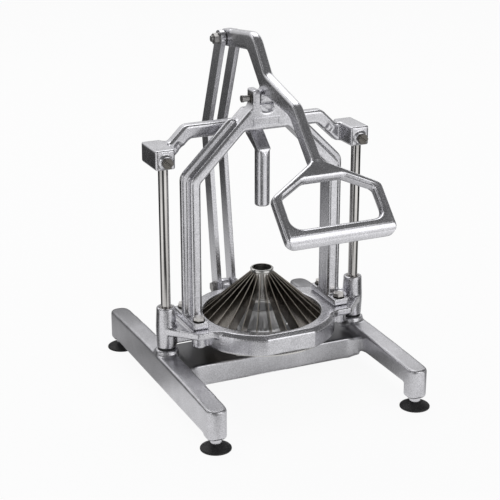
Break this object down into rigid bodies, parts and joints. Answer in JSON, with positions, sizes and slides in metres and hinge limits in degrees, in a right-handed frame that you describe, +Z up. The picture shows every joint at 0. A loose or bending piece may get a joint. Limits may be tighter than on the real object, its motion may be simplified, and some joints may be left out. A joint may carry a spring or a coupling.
{
  "type": "blooming onion cutter",
  "caption": "Cast lever press that drives a cone of radial blades and a core tube over an onion; the carriage slides on two guide rods over a footed stand.",
  "frame": {"origin": "on the floor, under the centre of the bounding box", "axes": "+X across the stand to the operator's right, -Y towards the operator and the handle, +Z up"},
  "size_m": [0.3176, 0.4172, 0.4628],
  "materials": {
    "cast": "tumbled satin casting with a fine grain",
    "rubber": "matt black rubber",
    "rod_steel": "ground and polished round bar",
    "blade_steel": "ground stainless blade steel",
    "bolt_steel": "plain steel fasteners",
    "bush": "plain turned bearing bush, oiled",
    "stud": "turned collar with a threaded stud",
    "seat": "turned, lightly polished"
  },
  "bodies": {
    "stand": {"base_casting": "cast", "foot_front_left": "rubber", "foot_front_right": "rubber", "foot_rear_left": "rubber", "foot_rear_right": "rubber", "foot_studs": "stud", "guide_rod_left": "rod_steel", "guide_rod_right": "rod_steel", "rod_base_screws": "bolt_steel", "bumper_left": "rubber", "bumper_right": "rubber", "crossbar": "cast", "clamp_screws": "bolt_steel", "ejector": "cast", "ejector_bolt": "bolt_steel", "onion_seat": "seat", "seat_screw": "bolt_steel"},
    "carriage": {"blade_ring": "cast", "bushing_left_lower": "bush", "bushing_left_upper": "bush", "bushing_right_lower": "bush", "bushing_right_upper": "bush", "arch_frame": "cast", "arch_bolts": "bolt_steel", "core_tube": "blade_steel", "blade_band": "blade_steel", "band_screws": "bolt_steel", "pivot_pin": "bolt_steel", "pivot_clip": "bolt_steel", "blade_01": "blade_steel", "blade_02": "blade_steel", "blade_03": "blade_steel", "blade_04": "blade_steel", "blade_05": "blade_steel", "blade_06": "blade_steel", "blade_07": "blade_steel", "blade_08": "blade_steel", "blade_09": "blade_steel", "blade_10": "blade_steel", "blade_11": "blade_steel", "blade_12": "blade_steel", "blade_13": "blade_steel", "blade_14": "blade_steel", "blade_15": "blade_steel", "blade_16": "blade_steel", "blade_17": "blade_steel", "blade_18": "blade_steel", "blade_19": "blade_steel", "blade_20": "blade_steel", "blade_21": "blade_steel", "blade_22": "blade_steel", "blade_23": "blade_steel", "blade_24": "blade_steel"},
    "lever": {"lever": "cast", "lever_bush": "bush"},
    "links": {"link_left": "cast", "link_right": "cast", "rear_bolt": "bolt_steel", "rear_washers": "bolt_steel", "link_screws": "bolt_steel"}
  },
  "joints": [
    {"name": "carriage_lift", "type": "slide", "parent": "stand", "child": "carriage", "axis": [0, 0, 1], "range_m": [0, 0.109]},
    {"name": "lever_swing", "type": "hinge", "parent": "carriage", "child": "lever", "pos_m": [0, 0.01606, 0.3865], "axis": [-1, 0, 0], "range_deg": [0, 52.35]},
    {"name": "link_fold", "type": "hinge", "parent": "lever", "child": "links", "pos_m": [0, 0.12706, 0.441], "axis": [1, 0, 0], "range_deg": [0, 52.35]}
  ],
  "couplings": [
    {"joint": "lever_swing", "follows": "carriage_lift", "rad_per_m": 8.3746},
    {"joint": "link_fold", "follows": "carriage_lift", "rad_per_m": 8.3746}
  ]
}
